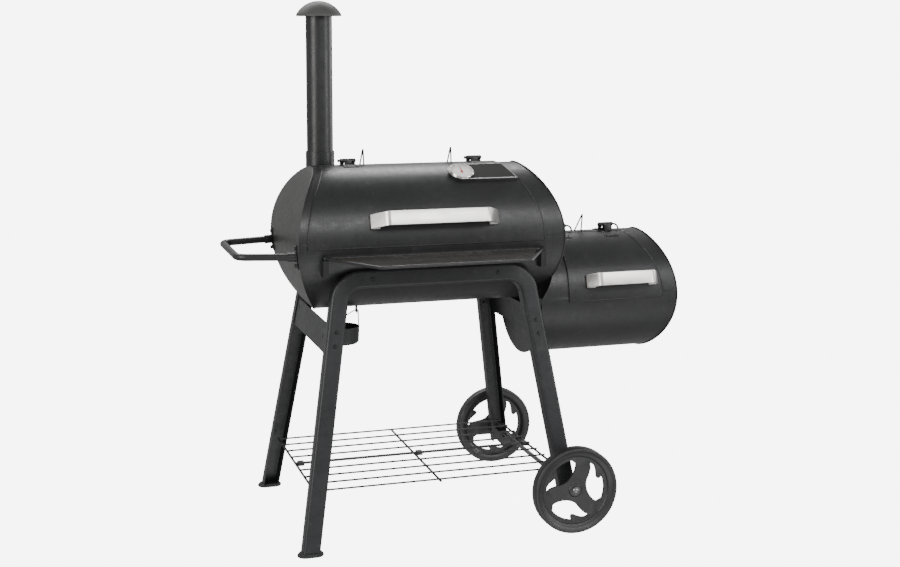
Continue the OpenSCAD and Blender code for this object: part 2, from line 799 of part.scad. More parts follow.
// Pan-head screws with nuts, through every web and tongue
module frame_screws() color("#3f4042") for (rear = [0, 1]) in_frame(rear)
    for (m = [0, 1]) mirror([m, 0, 0]) for (p = screw_points()) translate([p.x, p.y, 0]) {
        translate([0, 0, channel_d / 2]) cylinder(r1 = 5, r2 = 3.6, h = 2.6);
        translate([0, 0, tongue_z - tongue - 6])
            cylinder(r = 2.5, h = channel_d / 2 - tongue_z + tongue + 6);
        translate([0, 0, tongue_z - tongue - 4]) cylinder(r = 4.5, h = 4, $fn = 6);
    }

// ---------- Wheels ----------

module axle() placed() color("#6f7072") translate([axle_x, 0, axle_z]) ycyl(axle_r, 0, 2 * (wheel_y + 8));

// Spacer tubes inside the wheels and domed caps outside them
module axle_fittings() placed() color("#3a3b3d") for (s = [0, 1]) mirror([0, s, 0])
    translate([axle_x, -wheel_y, axle_z]) rotate([90, 0, 0]) {
        translate([0, 0, -wheel_w / 2 - 17.2]) difference() {
            cylinder(r = 9, h = 17);
            translate([0, 0, -1]) cylinder(r = axle_r, h = 20);
        }
        translate([0, 0, 8.3]) difference() {
            union() {
                cylinder(r = 10, h = 3);
                intersection() {
                    translate([0, 0, -2.5]) sphere(10.6);
                    translate([0, 0, 3]) cylinder(r = 10, h = 10);
                }
            }
            translate([0, 0, -9]) cylinder(r = axle_r, h = 9.1);
        }
    }

window_outer_r = 79;

// Flame-shaped window: a long curved tongue and a short one, either side of a hook; three to a wheel
module wheel_window() intersection() {
    circle(window_outer_r);
    polygon([[31, 72], [36, 71], [43, 66], [48, 57], [51, 47], [53, 38], [56, 34], [60, 33], [64, 35],
             [67, 40], [70, 48], [90, 40], [90, -10], [64, -27], [56, -23], [48, -17], [41, -10],
             [34, 0], [30, 10],
             [28, 20], [29, 30], [32, 42], [34, 54], [34, 62]]);
}

module wheel() rotate([90, 0, 0]) difference() {
    rotate_extrude() polygon([
        [axle_r + pin_fit, -wheel_w / 2], [17, -wheel_w / 2], [19, -3], [86, -3], [92, -12],
        [100, -wheel_w / 2], [109, -wheel_w / 2], [wheel_r, -wheel_w / 2 + 4],
        [wheel_r, wheel_w / 2 - 3], [110, wheel_w / 2],
        [105, wheel_w / 2], [102.5, wheel_w / 2 - 3], [90, 8], [88, 4], [19, 4], [16, 8],
        [axle_r + pin_fit, 8]]);
    for (a = [-8, 112, 232])
        rotate([0, 0, a]) translate([0, 0, -20]) linear_extrude(40) wheel_window();
}

module front_wheel() placed() color("#242527") translate([axle_x, -wheel_y, axle_z]) wheel();

module rear_wheel() placed() color("#242527") translate([axle_x, wheel_y, axle_z]) mirror([0, 1, 0]) wheel();

// ---------- Lower shelf ----------

shelf_half_x = 326;
shelf_half_y = 228.6;
shelf_pitch = shelf_half_y / 4;
shelf_rod = 2.4;
cross_rod = 3;
cross_xs = [-shelf_half_x, 0, shelf_half_x];

// One half: long wires over three cross rods; the end rods reach into the leg channels
module shelf_half() {
    for (i = [0 : 4]) {
        y = i == 0 ? 3.4 : i * shelf_pitch;
        rod([-shelf_half_x - 4, -y, 0], [shelf_half_x + 4, -y, 0], shelf_rod);
    }
    for (x = cross_xs)
        rod([x, -1, -4.4], [x, x == 0 ? -shelf_half_y - 4 : -shelf_half_y - 20, -4.4], cross_rod);
}

module bottom_shelf_front() placed() color("#1f2021") translate([0, 0, shelf_z]) shelf_half();

module bottom_shelf_rear() placed() color("#1f2021") translate([0, 0, shelf_z])
    mirror([0, 1, 0]) shelf_half();

clip_xs = [-shelf_half_x + 11.5, 11.5, shelf_half_x - 11.5];

module bottom_shelf_clips() placed() color("#161617") translate([0, 0, shelf_z]) for (x = clip_xs)
    difference() {
        translate([x - 8, -9, -5.5]) cube([16, 18, 10]);
        for (s = [-1, 1]) translate([0, s * 3.4, 0]) xcyl(shelf_rod + 0.1, -big, big);
    }

// ---------- Grease cup ----------

module grease_cup() placed() color("#1b1b1d") translate([cup_x, 0, cup_low]) rotate_extrude()
    difference() {
        union() {
            square([cup_r - 8, 8]);
            translate([0, 8]) polygon([[0, 0], [cup_r - 1.6, 0], [cup_r, cup_top - cup_low - 9.5],
                                       [0, cup_top - cup_low - 9.5]]);
            intersection() {
                translate([cup_r - 9.6, 8]) circle(8);
                square([cup_r, 9]);
            }
            translate([0, cup_top - cup_low - 3]) square([cup_r, 3]);
        }
        translate([0, 1.5]) polygon([[0, 0], [cup_r - 9.5, 0], [cup_r - 3.2, 6.5],
                                     [cup_r - 1.8, cup_top - cup_low], [0, cup_top - cup_low]]);
    }

module grease_bail() placed() color("#8a8b8d") rotate([90, 0, 0])
    sweep([[cup_x - cup_r + 1, cup_top], [hook_x - 5, hook_z], [hook_x + 5, hook_z],
           [cup_x + cup_r - 1, cup_top]], [4, 2.5]) circle(bail_r + $grow);

// ---------- Assembly ----------

cooking_chamber();
left_end_plate();
right_end_plate();
grate_rails();
cooking_grates();
chimney_collar();
chimney_pipe();
grease_drain();
lid_stops();
hinge_base_leaves();
hinge_pins();
side_handle();
side_handle_flanges();
front_shelf_brackets();
firebox_body();
firebox_left_plate();
firebox_right_plate();
charcoal_grate();
air_slider_rails();
front_beam();
rear_beam();
front_left_elbow();
front_right_elbow();
rear_left_elbow();
rear_right_elbow();
front_left_leg();
front_right_leg();
rear_left_leg();
rear_right_leg();
left_feet();
left_side_plate();
right_side_plate();
frame_screws();
axle();
axle_fittings();
bottom_shelf_front();
bottom_shelf_rear();
bottom_shelf_clips();
chamber_lid();
chamber_lid_handle();
chamber_handle_screws();
chamber_hinge_leaves();
thermometer_case();
thermometer_stem();
thermometer_dial();
thermometer_bezel();
badge_trim();
thermometer_needle();
firebox_lid();
firebox_lid_handle();
firebox_handle_screws();
firebox_hinge_leaves();
chimney_cap();
front_wheel();
rear_wheel();
air_slider();
grease_cup();
grease_bail();
front_shelf_frame();
front_shelf_mesh();
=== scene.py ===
"""Looks for the offset smoker.

Finished copies of the CAD parts with rounded edges, the expanded mesh, hems, rivets and dial print that
the CAD leaves plain, procedural materials, a white studio and the camera.
"""

import json
import math

import bmesh
import bpy
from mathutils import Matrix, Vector


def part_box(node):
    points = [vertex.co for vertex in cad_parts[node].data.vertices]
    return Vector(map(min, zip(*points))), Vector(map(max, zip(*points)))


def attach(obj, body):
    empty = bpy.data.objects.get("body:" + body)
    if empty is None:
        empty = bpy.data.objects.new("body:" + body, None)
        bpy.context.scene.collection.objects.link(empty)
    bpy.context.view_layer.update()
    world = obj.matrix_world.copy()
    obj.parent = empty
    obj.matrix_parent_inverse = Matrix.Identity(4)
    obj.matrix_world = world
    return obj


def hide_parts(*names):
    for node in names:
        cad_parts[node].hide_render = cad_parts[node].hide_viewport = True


MM = 0.001

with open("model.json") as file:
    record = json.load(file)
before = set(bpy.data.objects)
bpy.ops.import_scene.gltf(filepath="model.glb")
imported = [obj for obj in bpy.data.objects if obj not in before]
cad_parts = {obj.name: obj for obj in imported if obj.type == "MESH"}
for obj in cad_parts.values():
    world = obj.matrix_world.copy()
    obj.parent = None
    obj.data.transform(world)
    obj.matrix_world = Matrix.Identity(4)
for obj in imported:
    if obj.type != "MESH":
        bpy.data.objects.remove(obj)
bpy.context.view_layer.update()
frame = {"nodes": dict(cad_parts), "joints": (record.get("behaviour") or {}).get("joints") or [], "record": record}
NODES = frame["nodes"]
BODY_OF = {n: b for b, members in frame["record"]["behaviour"]["bodies"].items() for n in members}
SLOT_OF = {s["node"]: s["material_slot"] for s in frame["record"]["subparts"]}


# ---------- Node-based materials ----------

NOISE_LOW = 0.3
NOISE_HIGH = 0.7


class Maker:
    """A Principled material whose colour, roughness and relief come from noise in the row frame."""

    def __init__(self, name, metallic=0.0):
        self.material = bpy.data.materials.new(name)
        self.material.use_nodes = True
        self.tree = self.material.node_tree
        self.shader = self.tree.nodes["Principled BSDF"]
        self.shader.inputs["Metallic"].default_value = metallic
        self.place = self.tree.nodes.new("ShaderNodeTexCoord").outputs["Object"]
        self.normal = None

    def link(self, a, b):
        self.tree.links.new(a, b)

    def noise(self, scale, detail=3.0, rough=0.55, stretch=(1, 1, 1), shift=0.0):
        """Noise with features 1/scale metres across, shrunk along each axis by stretch."""
        mapping = self.tree.nodes.new("ShaderNodeMapping")
        mapping.inputs["Scale"].default_value = stretch
        mapping.inputs["Location"].default_value = (shift, shift * 0.7, shift * 1.3)
        self.link(self.place, mapping.inputs["Vector"])
        node = self.tree.nodes.new("ShaderNodeTexNoise")
        node.inputs["Scale"].default_value = scale
        node.inputs["Detail"].default_value = detail
        node.inputs["Roughness"].default_value = rough
        self.link(mapping.outputs["Vector"], node.inputs["Vector"])
        return node.outputs["Fac"]

    def ramp(self, fac, stops):
        node = self.tree.nodes.new("ShaderNodeValToRGB")
        ramp = node.color_ramp
        while len(ramp.elements) < len(stops):
            ramp.elements.new(0.5)
        for element, (at, colour) in zip(ramp.elements, stops):
            element.position = at
            element.color = (*colour, 1.0)
        self.link(fac, node.inputs["Fac"])
        return node.outputs["Color"]

    def span(self, fac, low, high):
        """Spreads the usual range of a noise from low to high."""
        node = self.tree.nodes.new("ShaderNodeMapRange")
        limits = {"From Min": NOISE_LOW, "From Max": NOISE_HIGH, "To Min": low, "To Max": high}
        for key, value in limits.items():
            node.inputs[key].default_value = value
        self.link(fac, node.inputs["Value"])
        return node.outputs["Result"]

    def mix(self, fac, a, b):
        node = self.tree.nodes.new("ShaderNodeMix")
        node.data_type = "RGBA"
        for socket, value in (("Factor_Float", fac), ("A_Color", a), ("B_Color", b)):
            target = next(i for i in node.inputs if i.identifier == socket)
            if hasattr(value, "links"):
                self.link(value, target)
            else:
                target.default_value = value
        return next(o for o in node.outputs if o.identifier == "Result_Color")

    def add(self, a, b):
        node = self.tree.nodes.new("ShaderNodeMath")
        node.operation = "ADD"
        self.link(a, node.inputs[0])
        self.link(b, node.inputs[1])
        return node.outputs[0]

    def bump(self, height, strength, distance):
        node = self.tree.nodes.new("ShaderNodeBump")
        node.inputs["Strength"].default_value = strength
        node.inputs["Distance"].default_value = distance
        self.link(height, node.inputs["Height"])
        if self.normal is not None:
            self.link(self.normal, node.inputs["Normal"])
        self.normal = node.outputs["Normal"]

    def done(self, colour, roughness):
        self.link(colour, self.shader.inputs["Base Color"])
        self.link(roughness, self.shader.inputs["Roughness"])
        if self.normal is not None:
            self.link(self.normal, self.shader.inputs["Normal"])
        return self.material


def shade(colour, factor):
    return tuple(c * factor for c in colour)


def painted(name, colour, rough, streaks=0.0, grain=0.35, dust=(0.16, 0.155, 0.145)):
    """Baked heat-proof paint: mottled, finely pebbled, with faint rolling streaks round a drum."""
    m = Maker(name)
    m.shader.inputs["Specular IOR Level"].default_value = 0.42
    mottle = m.noise(11, 6, 0.6)
    base = m.ramp(mottle, [(0.32, shade(colour, 0.8)), (0.52, colour), (0.72, shade(colour, 1.3))])
    specks = m.ramp(m.noise(950, 2, 0.5, shift=3.1), [(0.66, (0, 0, 0)), (0.78, (1, 1, 1))])
    base = m.mix(specks, base, (*shade(dust, 0.5), 1.0))
    scuffs = m.ramp(m.noise(26, 8, 0.72, shift=7.7), [(0.6, (0, 0, 0)), (0.8, (0.3, 0.3, 0.3))])
    base = m.mix(scuffs, base, (*shade(dust, 0.6), 1.0))
    roughness = m.span(m.noise(55, 5, 0.65), rough - 0.05, rough + 0.07)
    if streaks > 0:
        lines = m.noise(7, 5, 0.6, stretch=(34, 1, 1))
        roughness = m.add(roughness, m.span(lines, -streaks, streaks))
        m.bump(lines, 0.12, 0.0006)
    m.bump(m.noise(120, 3, 0.5, shift=1.7), 0.10, 0.0006)
    m.bump(m.noise(1500, 2, 0.5), grain, 0.00012)
    return m.done(base, roughness)


def brushed(name, colour, rough, along="x", lines=0.25):
    """Steel with fine brushing along one axis, smears and faint handling marks."""
    m = Maker(name, metallic=1.0)
    stretch = {"x": (0.012, 1, 1), "y": (1, 0.012, 1), "z": (1, 1, 0.012)}[along]
    grain = m.noise(1100, 4, 0.6, stretch=stretch)
    smear = m.noise(24, 5, 0.6, shift=2.3)
    tone = m.ramp(smear, [(0.3, shade(colour, 0.86)), (0.7, shade(colour, 1.06))])
    tone = m.mix(0.35, tone, m.ramp(grain, [(0.3, shade(colour, 0.72)), (0.7, shade(colour, 1.1))]))
    roughness = m.add(m.span(grain, rough - 0.07, rough + 0.07), m.span(smear, -0.05, 0.07))
    m.bump(grain, lines, 0.0001)
    return m.done(tone, roughness)


def moulded(name, colour, rough):
    """Moulded plastic: fine leathery texture, slight bloom."""
    m = Maker(name)
    tone = m.ramp(m.noise(18, 6, 0.65), [(0.3, shade(colour, 0.8)), (0.7, shade(colour, 1.35))])
    roughness = m.span(m.noise(60, 4, 0.6, shift=4.4), rough - 0.05, rough + 0.08)
    m.bump(m.noise(800, 3, 0.6), 0.3, 0.00015)
    return m.done(tone, roughness)


def printed(name, colour, rough, gloss=0.5):
    """Printed or enamelled face: near-even colour with faint age mottling."""
    m = Maker(name)
    tone = m.ramp(m.noise(90, 5, 0.6), [(0.3, shade(colour, 0.93)), (0.7, colour)])
    roughness = m.span(m.noise(300, 3, 0.6), rough - 0.04, rough + 0.05)
    m.bump(m.noise(1600, 2, 0.5), 0.08, 0.0001)
    m.shader.inputs["Specular IOR Level"].default_value = gloss
    return m.done(tone, roughness)


MATERIALS = {
    "black_paint": painted("heat_paint_black", (0.0120, 0.0123, 0.0130), 0.37, streaks=0.05),
    # End plates: the drum's black heat paint made lighter, which is painted light standing in for the left softbox
    # falling on them.
    "end_plate_paint": painted("heat_paint_end_plate_painted_lighter", (0.022, 0.0215, 0.021), 0.42),
    "cap_paint": painted("matte_cap_paint", (0.045, 0.045, 0.044), 0.58, grain=0.5),
    "frame_paint": painted("powder_coat_frame", (0.0115, 0.0120, 0.0132), 0.42, grain=0.55),
    "wire_paint": painted("dipped_wire_paint", (0.010, 0.010, 0.0105), 0.38),
    "handle_steel": brushed("brushed_stainless_handle", (0.74, 0.725, 0.70), 0.36, lines=0.15),
    "zinc_steel": brushed("zinc_fastener", (0.30, 0.30, 0.30), 0.36, along="z"),
    "screw_black": brushed("blackened_screw", (0.055, 0.055, 0.057), 0.34, along="z"),
    "pin_steel": brushed("dark_pin_steel", (0.06, 0.06, 0.063), 0.36),
    "grate_steel": brushed("plated_grate_wire", (0.34, 0.34, 0.345), 0.36, along="y"),
    "axle_steel": brushed("axle_steel", (0.20, 0.20, 0.205), 0.34, along="y"),
    "bright_trim": brushed("bright_trim", (0.72, 0.71, 0.69), 0.2, lines=0.08),
    "stem_steel": brushed("probe_stem_steel", (0.55, 0.55, 0.54), 0.3, along="z"),
    "dial_white": printed("dial_enamel_white", (0.66, 0.65, 0.62), 0.42),
    "dial_black": printed("dial_print_black", (0.03, 0.03, 0.03), 0.4),
    "dial_grey": printed("dial_print_grey", (0.30, 0.30, 0.31), 0.4),
    "needle_red": printed("needle_lacquer_red", (0.42, 0.03, 0.02), 0.3),
    "mesh_steel": brushed("raw_mesh_steel", (0.085, 0.082, 0.076), 0.40, along="y"),
    "wheel_plastic": moulded("moulded_wheel_black", (0.0125, 0.0125, 0.0135), 0.42),
    "clip_plastic": moulded("moulded_clip_black", (0.008, 0.008, 0.009), 0.42),
    "badge_field": printed("badge_field_dark", (0.0080, 0.0075, 0.0070), 0.6, gloss=0.15),
}

FRAME_WORDS = ("beam", "elbow", "_leg", "feet", "side_plate")
FRAME_PARTS = [n for n in NODES if any(word in n for word in FRAME_WORDS)]


def look_of(node):
    if node in FRAME_PARTS:
        return MATERIALS["frame_paint"]
    if node == "frame_screws":
        return MATERIALS["screw_black"]
    return MATERIALS[SLOT_OF[node]]


# ---------- Mesh helpers ----------

SHARP_DEG = 32
HEM_SHARP_DEG = 60
STRAP_SHARP_DEG = 40
RIVET_SHARP_DEG = 50
BEVEL_SEGMENTS = 2
SAME_PLACE = 0.002 * MM
FLAT_DEG = 0.4


def add_object(name, mesh, materials, body, replaces=()):
    piece = bpy.data.objects.new(name, mesh)
    bpy.context.scene.collection.objects.link(piece)
    mesh.materials.clear()
    for material in materials:
        mesh.materials.append(material)
    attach(piece, body)
    if replaces:
        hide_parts(*replaces)
    return piece


def smooth(mesh, sharp_deg=SHARP_DEG):
    mesh.shade_smooth()
    mesh.set_sharp_from_angle(angle=math.radians(sharp_deg))


def soften(piece, width):
    """Rounds the sharp edges, with normals that keep the flats flat."""
    bevel = piece.modifiers.new("rounded_edges", "BEVEL")
    bevel.width = width
    bevel.segments = BEVEL_SEGMENTS
    bevel.limit_method = "ANGLE"
    bevel.angle_limit = math.radians(SHARP_DEG)
    bevel.use_clamp_overlap = True
    bevel.miter_outer = "MITER_ARC"
    bevel.harden_normals = True


def welded(node):
    """The CAD node's mesh, with its vertices joined up."""
    bm = bmesh.new()
    bm.from_mesh(NODES[node].data)
    bmesh.ops.remove_doubles(bm, verts=bm.verts, dist=SAME_PLACE)
    return bm


def drum_axis(plate):
    """Middle line of a drum, as a point at x = 0, and its radius, from the CAD plate that closes it."""
    low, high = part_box(plate)
    return Vector((0, (low.y + high.y) / 2, (low.z + high.z) / 2)), (high.z - low.z) / 2


def finished(node, width):
    """A copy of a CAD node with rounded edges; flats are merged, except on the dished wheels."""
    bm = welded(node)
    if not node.endswith("_wheel"):
        bmesh.ops.dissolve_limit(bm, angle_limit=math.radians(FLAT_DEG), verts=bm.verts, edges=bm.edges)
    mesh = bpy.data.meshes.new(node + "_finished")
    bm.to_mesh(mesh)
    bm.free()
    smooth(mesh)
    piece = add_object(node + "_finished", mesh, [look_of(node)], BODY_OF[node], [node])
    soften(piece, width)


def new_mesh(name, bm):
    bmesh.ops.recalc_face_normals(bm, faces=bm.faces)
    mesh = bpy.data.meshes.new(name)
    bm.to_mesh(mesh)
    bm.free()
    return mesh


def tube_faces(bm, rings, closed=False):
    """Joins rings of vertices into a tube; an open tube gets end caps."""
    n = len(rings[0])
    onward = rings[1:] + rings[:1] if closed else rings[1:]
    for one, two in zip(rings, onward):
        for i in range(n):
            j = (i + 1) % n
            bm.faces.new((one[i], one[j], two[j], two[i]))
    if not closed:
        bm.faces.new(rings[0][::-1])
        bm.faces.new(rings[-1])


def prism(bm, section, start, end, across, up):
    """Straight bar with the given section of (across, up) offsets, between two points."""
    tube_faces(bm, [[bm.verts.new(p + across * a + up * b) for a, b in section] for p in (start, end)])


# ---------- Expanded mesh of the front shelf ----------

CELL_LONG = 19 * MM
CELL_SHORT = 8.4 * MM
STRAND_WIDE = 2.3 * MM
STRAND_THICK = 1.3 * MM
STRAND_TILT = math.radians(38)
STRAND_OVERLAP = 0.35 * MM


def shelf_outline():
    """Half lengths of the mesh at its back and front edges, and their y, from the CAD sheet."""
    verts = [v.co for v in NODES["front_shelf_mesh"].data.vertices]
    low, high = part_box("front_shelf_mesh")
    front = [v.x for v in verts if v.y < low.y + MM]
    back = [v.x for v in verts if v.y > high.y - MM]
    middle = (low.x + high.x) / 2
    return middle, (low.z + high.z) / 2, (low.y, max(front) - middle), (high.y, max(back) - middle)


def shelf_mesh():
    """Zigzag strands of the expanded mesh, row by row; each is one prism between two bends."""
    middle, level, (front_y, front_half), (back_y, back_half) = shelf_outline()
    bm = bmesh.new()
    rows = int((back_y - front_y) / (CELL_SHORT / 2))
    for row in range(rows):
        y0 = front_y + (back_y - front_y) * (row + 0.5) / rows
        share = (y0 - front_y) / (back_y - front_y)
        half = front_half + (back_half - front_half) * share
        count = int(2 * half / (CELL_LONG / 2))
        points = []
        for i in range(count + 1):
            x = middle - half + i * CELL_LONG / 2
            swing = 1 if (round((x - middle) / (CELL_LONG / 2)) + row) % 2 else -1
            points.append(Vector((x, y0 + swing * CELL_SHORT / 4, level)))
        for a, b in zip(points, points[1:]):
            along = (b - a).normalized()
            flat = Vector((-along.y, along.x, 0))
            across = flat * math.cos(STRAND_TILT) + Vector((0, 0, math.sin(STRAND_TILT)))
            up = along.cross(across)
            w, t = STRAND_WIDE / 2, STRAND_THICK / 2
            reach = along * STRAND_OVERLAP
            prism(bm, [(-w, -t), (w, -t), (w, t), (-w, t)], a - reach, b + reach, across, up)
    add_object(
        "shelf_expanded_mesh", new_mesh("shelf_expanded_mesh", bm), [MATERIALS["mesh_steel"]], "front_shelf",
        ["front_shelf_mesh"]
    )


# ---------- Hems round the lids ----------

HEM_R = 1.3 * MM
HEM_SIDES = 10
HEM_STEP = 3 * MM
ON_FACE = 0.05 * MM
EDGE_DEG = 25


def outline_loop(node, axis, radius):
    """The closed loop of sharp edges where a rolled lid's outer face ends."""
    bm = welded(node)

    def on_face(v):
        return abs(math.hypot(v.co.y - axis.y, v.co.z - axis.z) - radius) < ON_FACE

    joined = {}
    for e in bm.edges:
        sharp = len(e.link_faces) == 2 and e.calc_face_angle() > math.radians(EDGE_DEG)
        if sharp and all(on_face(v) for v in e.verts):
            a, b = e.verts
            joined.setdefault(a.index, []).append(b.index)
            joined.setdefault(b.index, []).append(a.index)
    bm.verts.ensure_lookup_table()
    loops = []
    while joined:
        start = min(joined)
        loop = [start]
        while True:
            onward = [i for i in joined.pop(loop[-1], []) if i in joined]
            if not onward:
                break
            loop.append(min(onward))
        loops.append([bm.verts[i].co.copy() for i in loop])
    bm.free()
    return max(loops, key=len)


def lid_hem(node, drum, body):
    """Rolled hem that follows the lid's edge all round."""
    axis, _ = drum_axis(drum)
    lid = [v.co for v in NODES[node].data.vertices]
    radius = max(math.hypot(c.y - axis.y, c.z - axis.z) for c in lid)
    loop = outline_loop(node, axis, radius)
    points = [loop[0]]
    for place in loop[1:]:
        if (place - points[-1]).length > HEM_STEP:
            points.append(place)
    bm = bmesh.new()
    rings = []
    n = len(points)
    for i, place in enumerate(points):
        along = (points[(i + 1) % n] - points[i - 1]).normalized()
        out = Vector((0, place.y - axis.y, place.z - axis.z)).normalized()
        side = along.cross(out).normalized()
        turns = [2 * math.pi * k / HEM_SIDES for k in range(HEM_SIDES)]
        rings.append([bm.verts.new(place + (out * math.cos(t) + side * math.sin(t)) * HEM_R) for t in turns])
    tube_faces(bm, rings, closed=True)
    mesh = new_mesh(node + "_hem", bm)
    smooth(mesh, HEM_SHARP_DEG)
    add_object(node + "_hem", mesh, [MATERIALS["black_paint"]], body)


# ---------- Strap handles ----------

FOOT_RUN = 26 * MM
FOOT_BEND = 3 * MM
GRIP_BEND = 20 * MM
BEND_STEPS = 10
STRAP_THICK = 3 * MM
STRAP_CORNER = 1.2 * MM
CORNER_STEPS = 4
FOOT_LIFT = 1.7 * MM


def rounded_path(points, radii):
    """Polyline with its inner corners turned into arcs; returns (point, direction) pairs."""
    path = [(points[0], (points[1] - points[0]).normalized())]
    for before, here, after, radius in zip(points, points[1:], points[2:], radii):
        come, go = (here - before).normalized(), (after - here).normalized()
        turn = come.angle(go)
        cut = radius * math.tan(turn / 2)
        inward = (go - come).normalized()
        centre = here + inward * (radius / math.cos(turn / 2))
        start = here - come * cut - centre
        spin = come.cross(go).normalized()
        side = spin.cross(start)
        for k in range(BEND_STEPS + 1):
            a = turn * k / BEND_STEPS
            path.append((centre + start * math.cos(a) + side * math.sin(a),
                         come * math.cos(a) + spin.cross(come) * math.sin(a)))
    path.append((points[-1], (points[-1] - points[-2]).normalized()))
    return path


def strap_section(height, thick, corner):
    """Rounded rectangle as (across the strap, through it) offsets."""
    section = []
    for cx, cy, first in ((1, 1, 0), (-1, 1, 90), (-1, -1, 180), (1, -1, 270)):
        for k in range(CORNER_STEPS + 1):
            a = math.radians(first + 90 * k / CORNER_STEPS)
            section.append((cx * (height / 2 - corner) + corner * math.cos(a),
                            cy * (thick / 2 - corner) + corner * math.sin(a)))
    return section


def strap_handle(node, drum, splay, body):
    """Bent stainless strap standing off the lid on two feet, along the CAD handle's own path."""
    axis, radius = drum_axis(drum)
    low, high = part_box(node)
    middle = (low + high) / 2
    out = Vector((0, middle.y - axis.y, middle.z - axis.z)).normalized()
    verts = [v.co - axis for v in NODES[node].data.vertices]
    side = Vector((1, 0, 0)).cross(out)
    height = max(v.dot(side) for v in verts) - min(v.dot(side) for v in verts)
    top = max(v.dot(out) for v in verts) - STRAP_THICK / 2
    foot = radius + FOOT_LIFT
    half = (high.x - low.x) / 2
    corners = [
        (-half + FOOT_RUN, foot), (-half, foot), (-half + splay, top), (half - splay, top), (half, foot),
        (half - FOOT_RUN, foot),
    ]
    points = [Vector((middle.x + x, axis.y, axis.z)) + out * r for x, r in corners]
    bm = bmesh.new()
    section = strap_section(height, STRAP_THICK, STRAP_CORNER)
    rings = []
    for place, along in rounded_path(points, [FOOT_BEND, GRIP_BEND, GRIP_BEND, FOOT_BEND]):
        through = along.cross(side)
        rings.append([bm.verts.new(place + side * a + through * b) for a, b in section])
    tube_faces(bm, rings)
    mesh = new_mesh(node + "_strap", bm)
    smooth(mesh, STRAP_SHARP_DEG)
    add_object(node + "_strap", mesh, [MATERIALS["handle_steel"]], body, [node])


# ---------- Thermometer face and badge plate ----------

DIAL_SIDES = 60
DIAL_THICK = 1.0 * MM
PRINT_THICK = 0.12 * MM
SCALE_DEG = 135
TICKS = 31
TICKS_PER_MAJOR = 5
BAND_STEP_DEG = 4
BAND_GAP_DEG = 3
SMOKE_ZONE_DEG = 39
BAND_INNER, BAND_OUTER = 0.50, 0.58
TICK_OUTER = 0.9
MAJOR_INNER, MINOR_INNER = 0.72, 0.80
MAJOR_HALF_DEG, MINOR_HALF_DEG = 1.5, 0.7

BADGE_BORDER = 3.4 * MM
BADGE_ROUND_DIAL = 0.8 * MM
BADGE_SLANT = 23 * MM
BADGE_THICK = 0.55 * MM
BADGE_EDGE = 0.2 * MM

JOINTS = {j["name"]: j for j in frame["joints"]}
NEEDLE = JOINTS["thermometer_needle_turn"]
DIAL_AXIS = Vector(NEEDLE["axis"])
DIAL_CENTRE = Vector(NEEDLE["pos_m"])
RIGHT = Vector((1, 0, 0))
UP_THE_LID = DIAL_AXIS.cross(RIGHT)


def on_dial(x, y, height):
    """Place on the dial: x to the right, y up round the lid, height out from its mounting face."""
    return DIAL_CENTRE + RIGHT * x + UP_THE_LID * y + DIAL_AXIS * height


def slab(bm, outline, low, high, material=0):
    """Closed plate on the dial's plane with the given outline, between two heights."""
    rings = [[bm.verts.new(on_dial(x, y, h)) for x, y in outline] for h in (low, high)]
    before = len(bm.faces)
    tube_faces(bm, rings)
    bm.faces.ensure_lookup_table()
    for face in bm.faces[before:]:
        face.material_index = material


def arc(radius, start, end, steps):
    """Points on a circle, with angles in degrees clockwise from the top of the dial."""
    turns = [math.radians(start + (end - start) * i / steps) for i in range(steps + 1)]
    return [(radius * math.sin(t), radius * math.cos(t)) for t in turns]


def band(bm, inner, outer, start, end, low, high, material):
    """Printed arc between two radii, made of short slabs."""
    steps = max(2, int(abs(end - start) / BAND_STEP_DEG))
    for i in range(steps):
        a = start + (end - start) * i / steps
        b = start + (end - start) * (i + 1) / steps
        slab(bm, arc(inner, a, b, 1) + arc(outer, b, a, 1), low, high, material)


def dial_face():
    """White disc with ticks and a three-part band, and no lettering."""
    low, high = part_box("thermometer_dial")
    radius = (high.x - low.x) / 2
    printed_top = DIAL_THICK + PRINT_THICK
    white, black, grey, red = 0, 1, 2, 3
    bm = bmesh.new()
    slab(bm, arc(radius, 0, 360 - 360 / DIAL_SIDES, DIAL_SIDES - 1), 0, DIAL_THICK, white)
    for i in range(TICKS):
        at = -SCALE_DEG + 2 * SCALE_DEG * i / (TICKS - 1)
        major = i % TICKS_PER_MAJOR == 0
        reach = radius * (MAJOR_INNER if major else MINOR_INNER)
        half = MAJOR_HALF_DEG if major else MINOR_HALF_DEG
        outline = arc(reach, at - half, at + half, 1) + arc(radius * TICK_OUTER, at + half, at - half, 1)
        slab(bm, outline, DIAL_THICK, printed_top, black)
    cool_end = SMOKE_ZONE_DEG + BAND_GAP_DEG
    zone_end = SMOKE_ZONE_DEG - BAND_GAP_DEG
    for start, end, ink in (
        (-SCALE_DEG, -cool_end, grey), (-zone_end, zone_end, red), (cool_end, SCALE_DEG, grey)
    ):
        band(bm, radius * BAND_INNER, radius * BAND_OUTER, start, end, DIAL_THICK, printed_top, ink)
    looks = [MATERIALS[k] for k in ("dial_white", "dial_black", "dial_grey", "needle_red")]
    mesh = new_mesh("dial_face", bm)
    add_object("dial_face", mesh, looks, "chamber_lid", ["thermometer_dial"])


def badge_plate():
    """Blank dark plate inside the bright border, to the right of the dial."""
    trim_low, trim_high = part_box("badge_trim")
    half = DIAL_CENTRE.x - trim_low.x - BADGE_BORDER
    round_dial = half + BADGE_ROUND_DIAL
    right = trim_high.x - DIAL_CENTRE.x - BADGE_BORDER
    meet = math.degrees(math.acos(half / round_dial))
    outline = arc(round_dial, meet, 180 - meet, 24)
    outline += [(right, -half), (right - BADGE_SLANT, half)]
    bm = bmesh.new()
    slab(bm, outline, 0, BADGE_THICK)
    piece = add_object(
        "badge_plate", new_mesh("badge_plate", bm), [MATERIALS["badge_field"]], "chamber_lid"
    )
    soften(piece, BADGE_EDGE)


# ---------- Rivets on the hinge leaves ----------

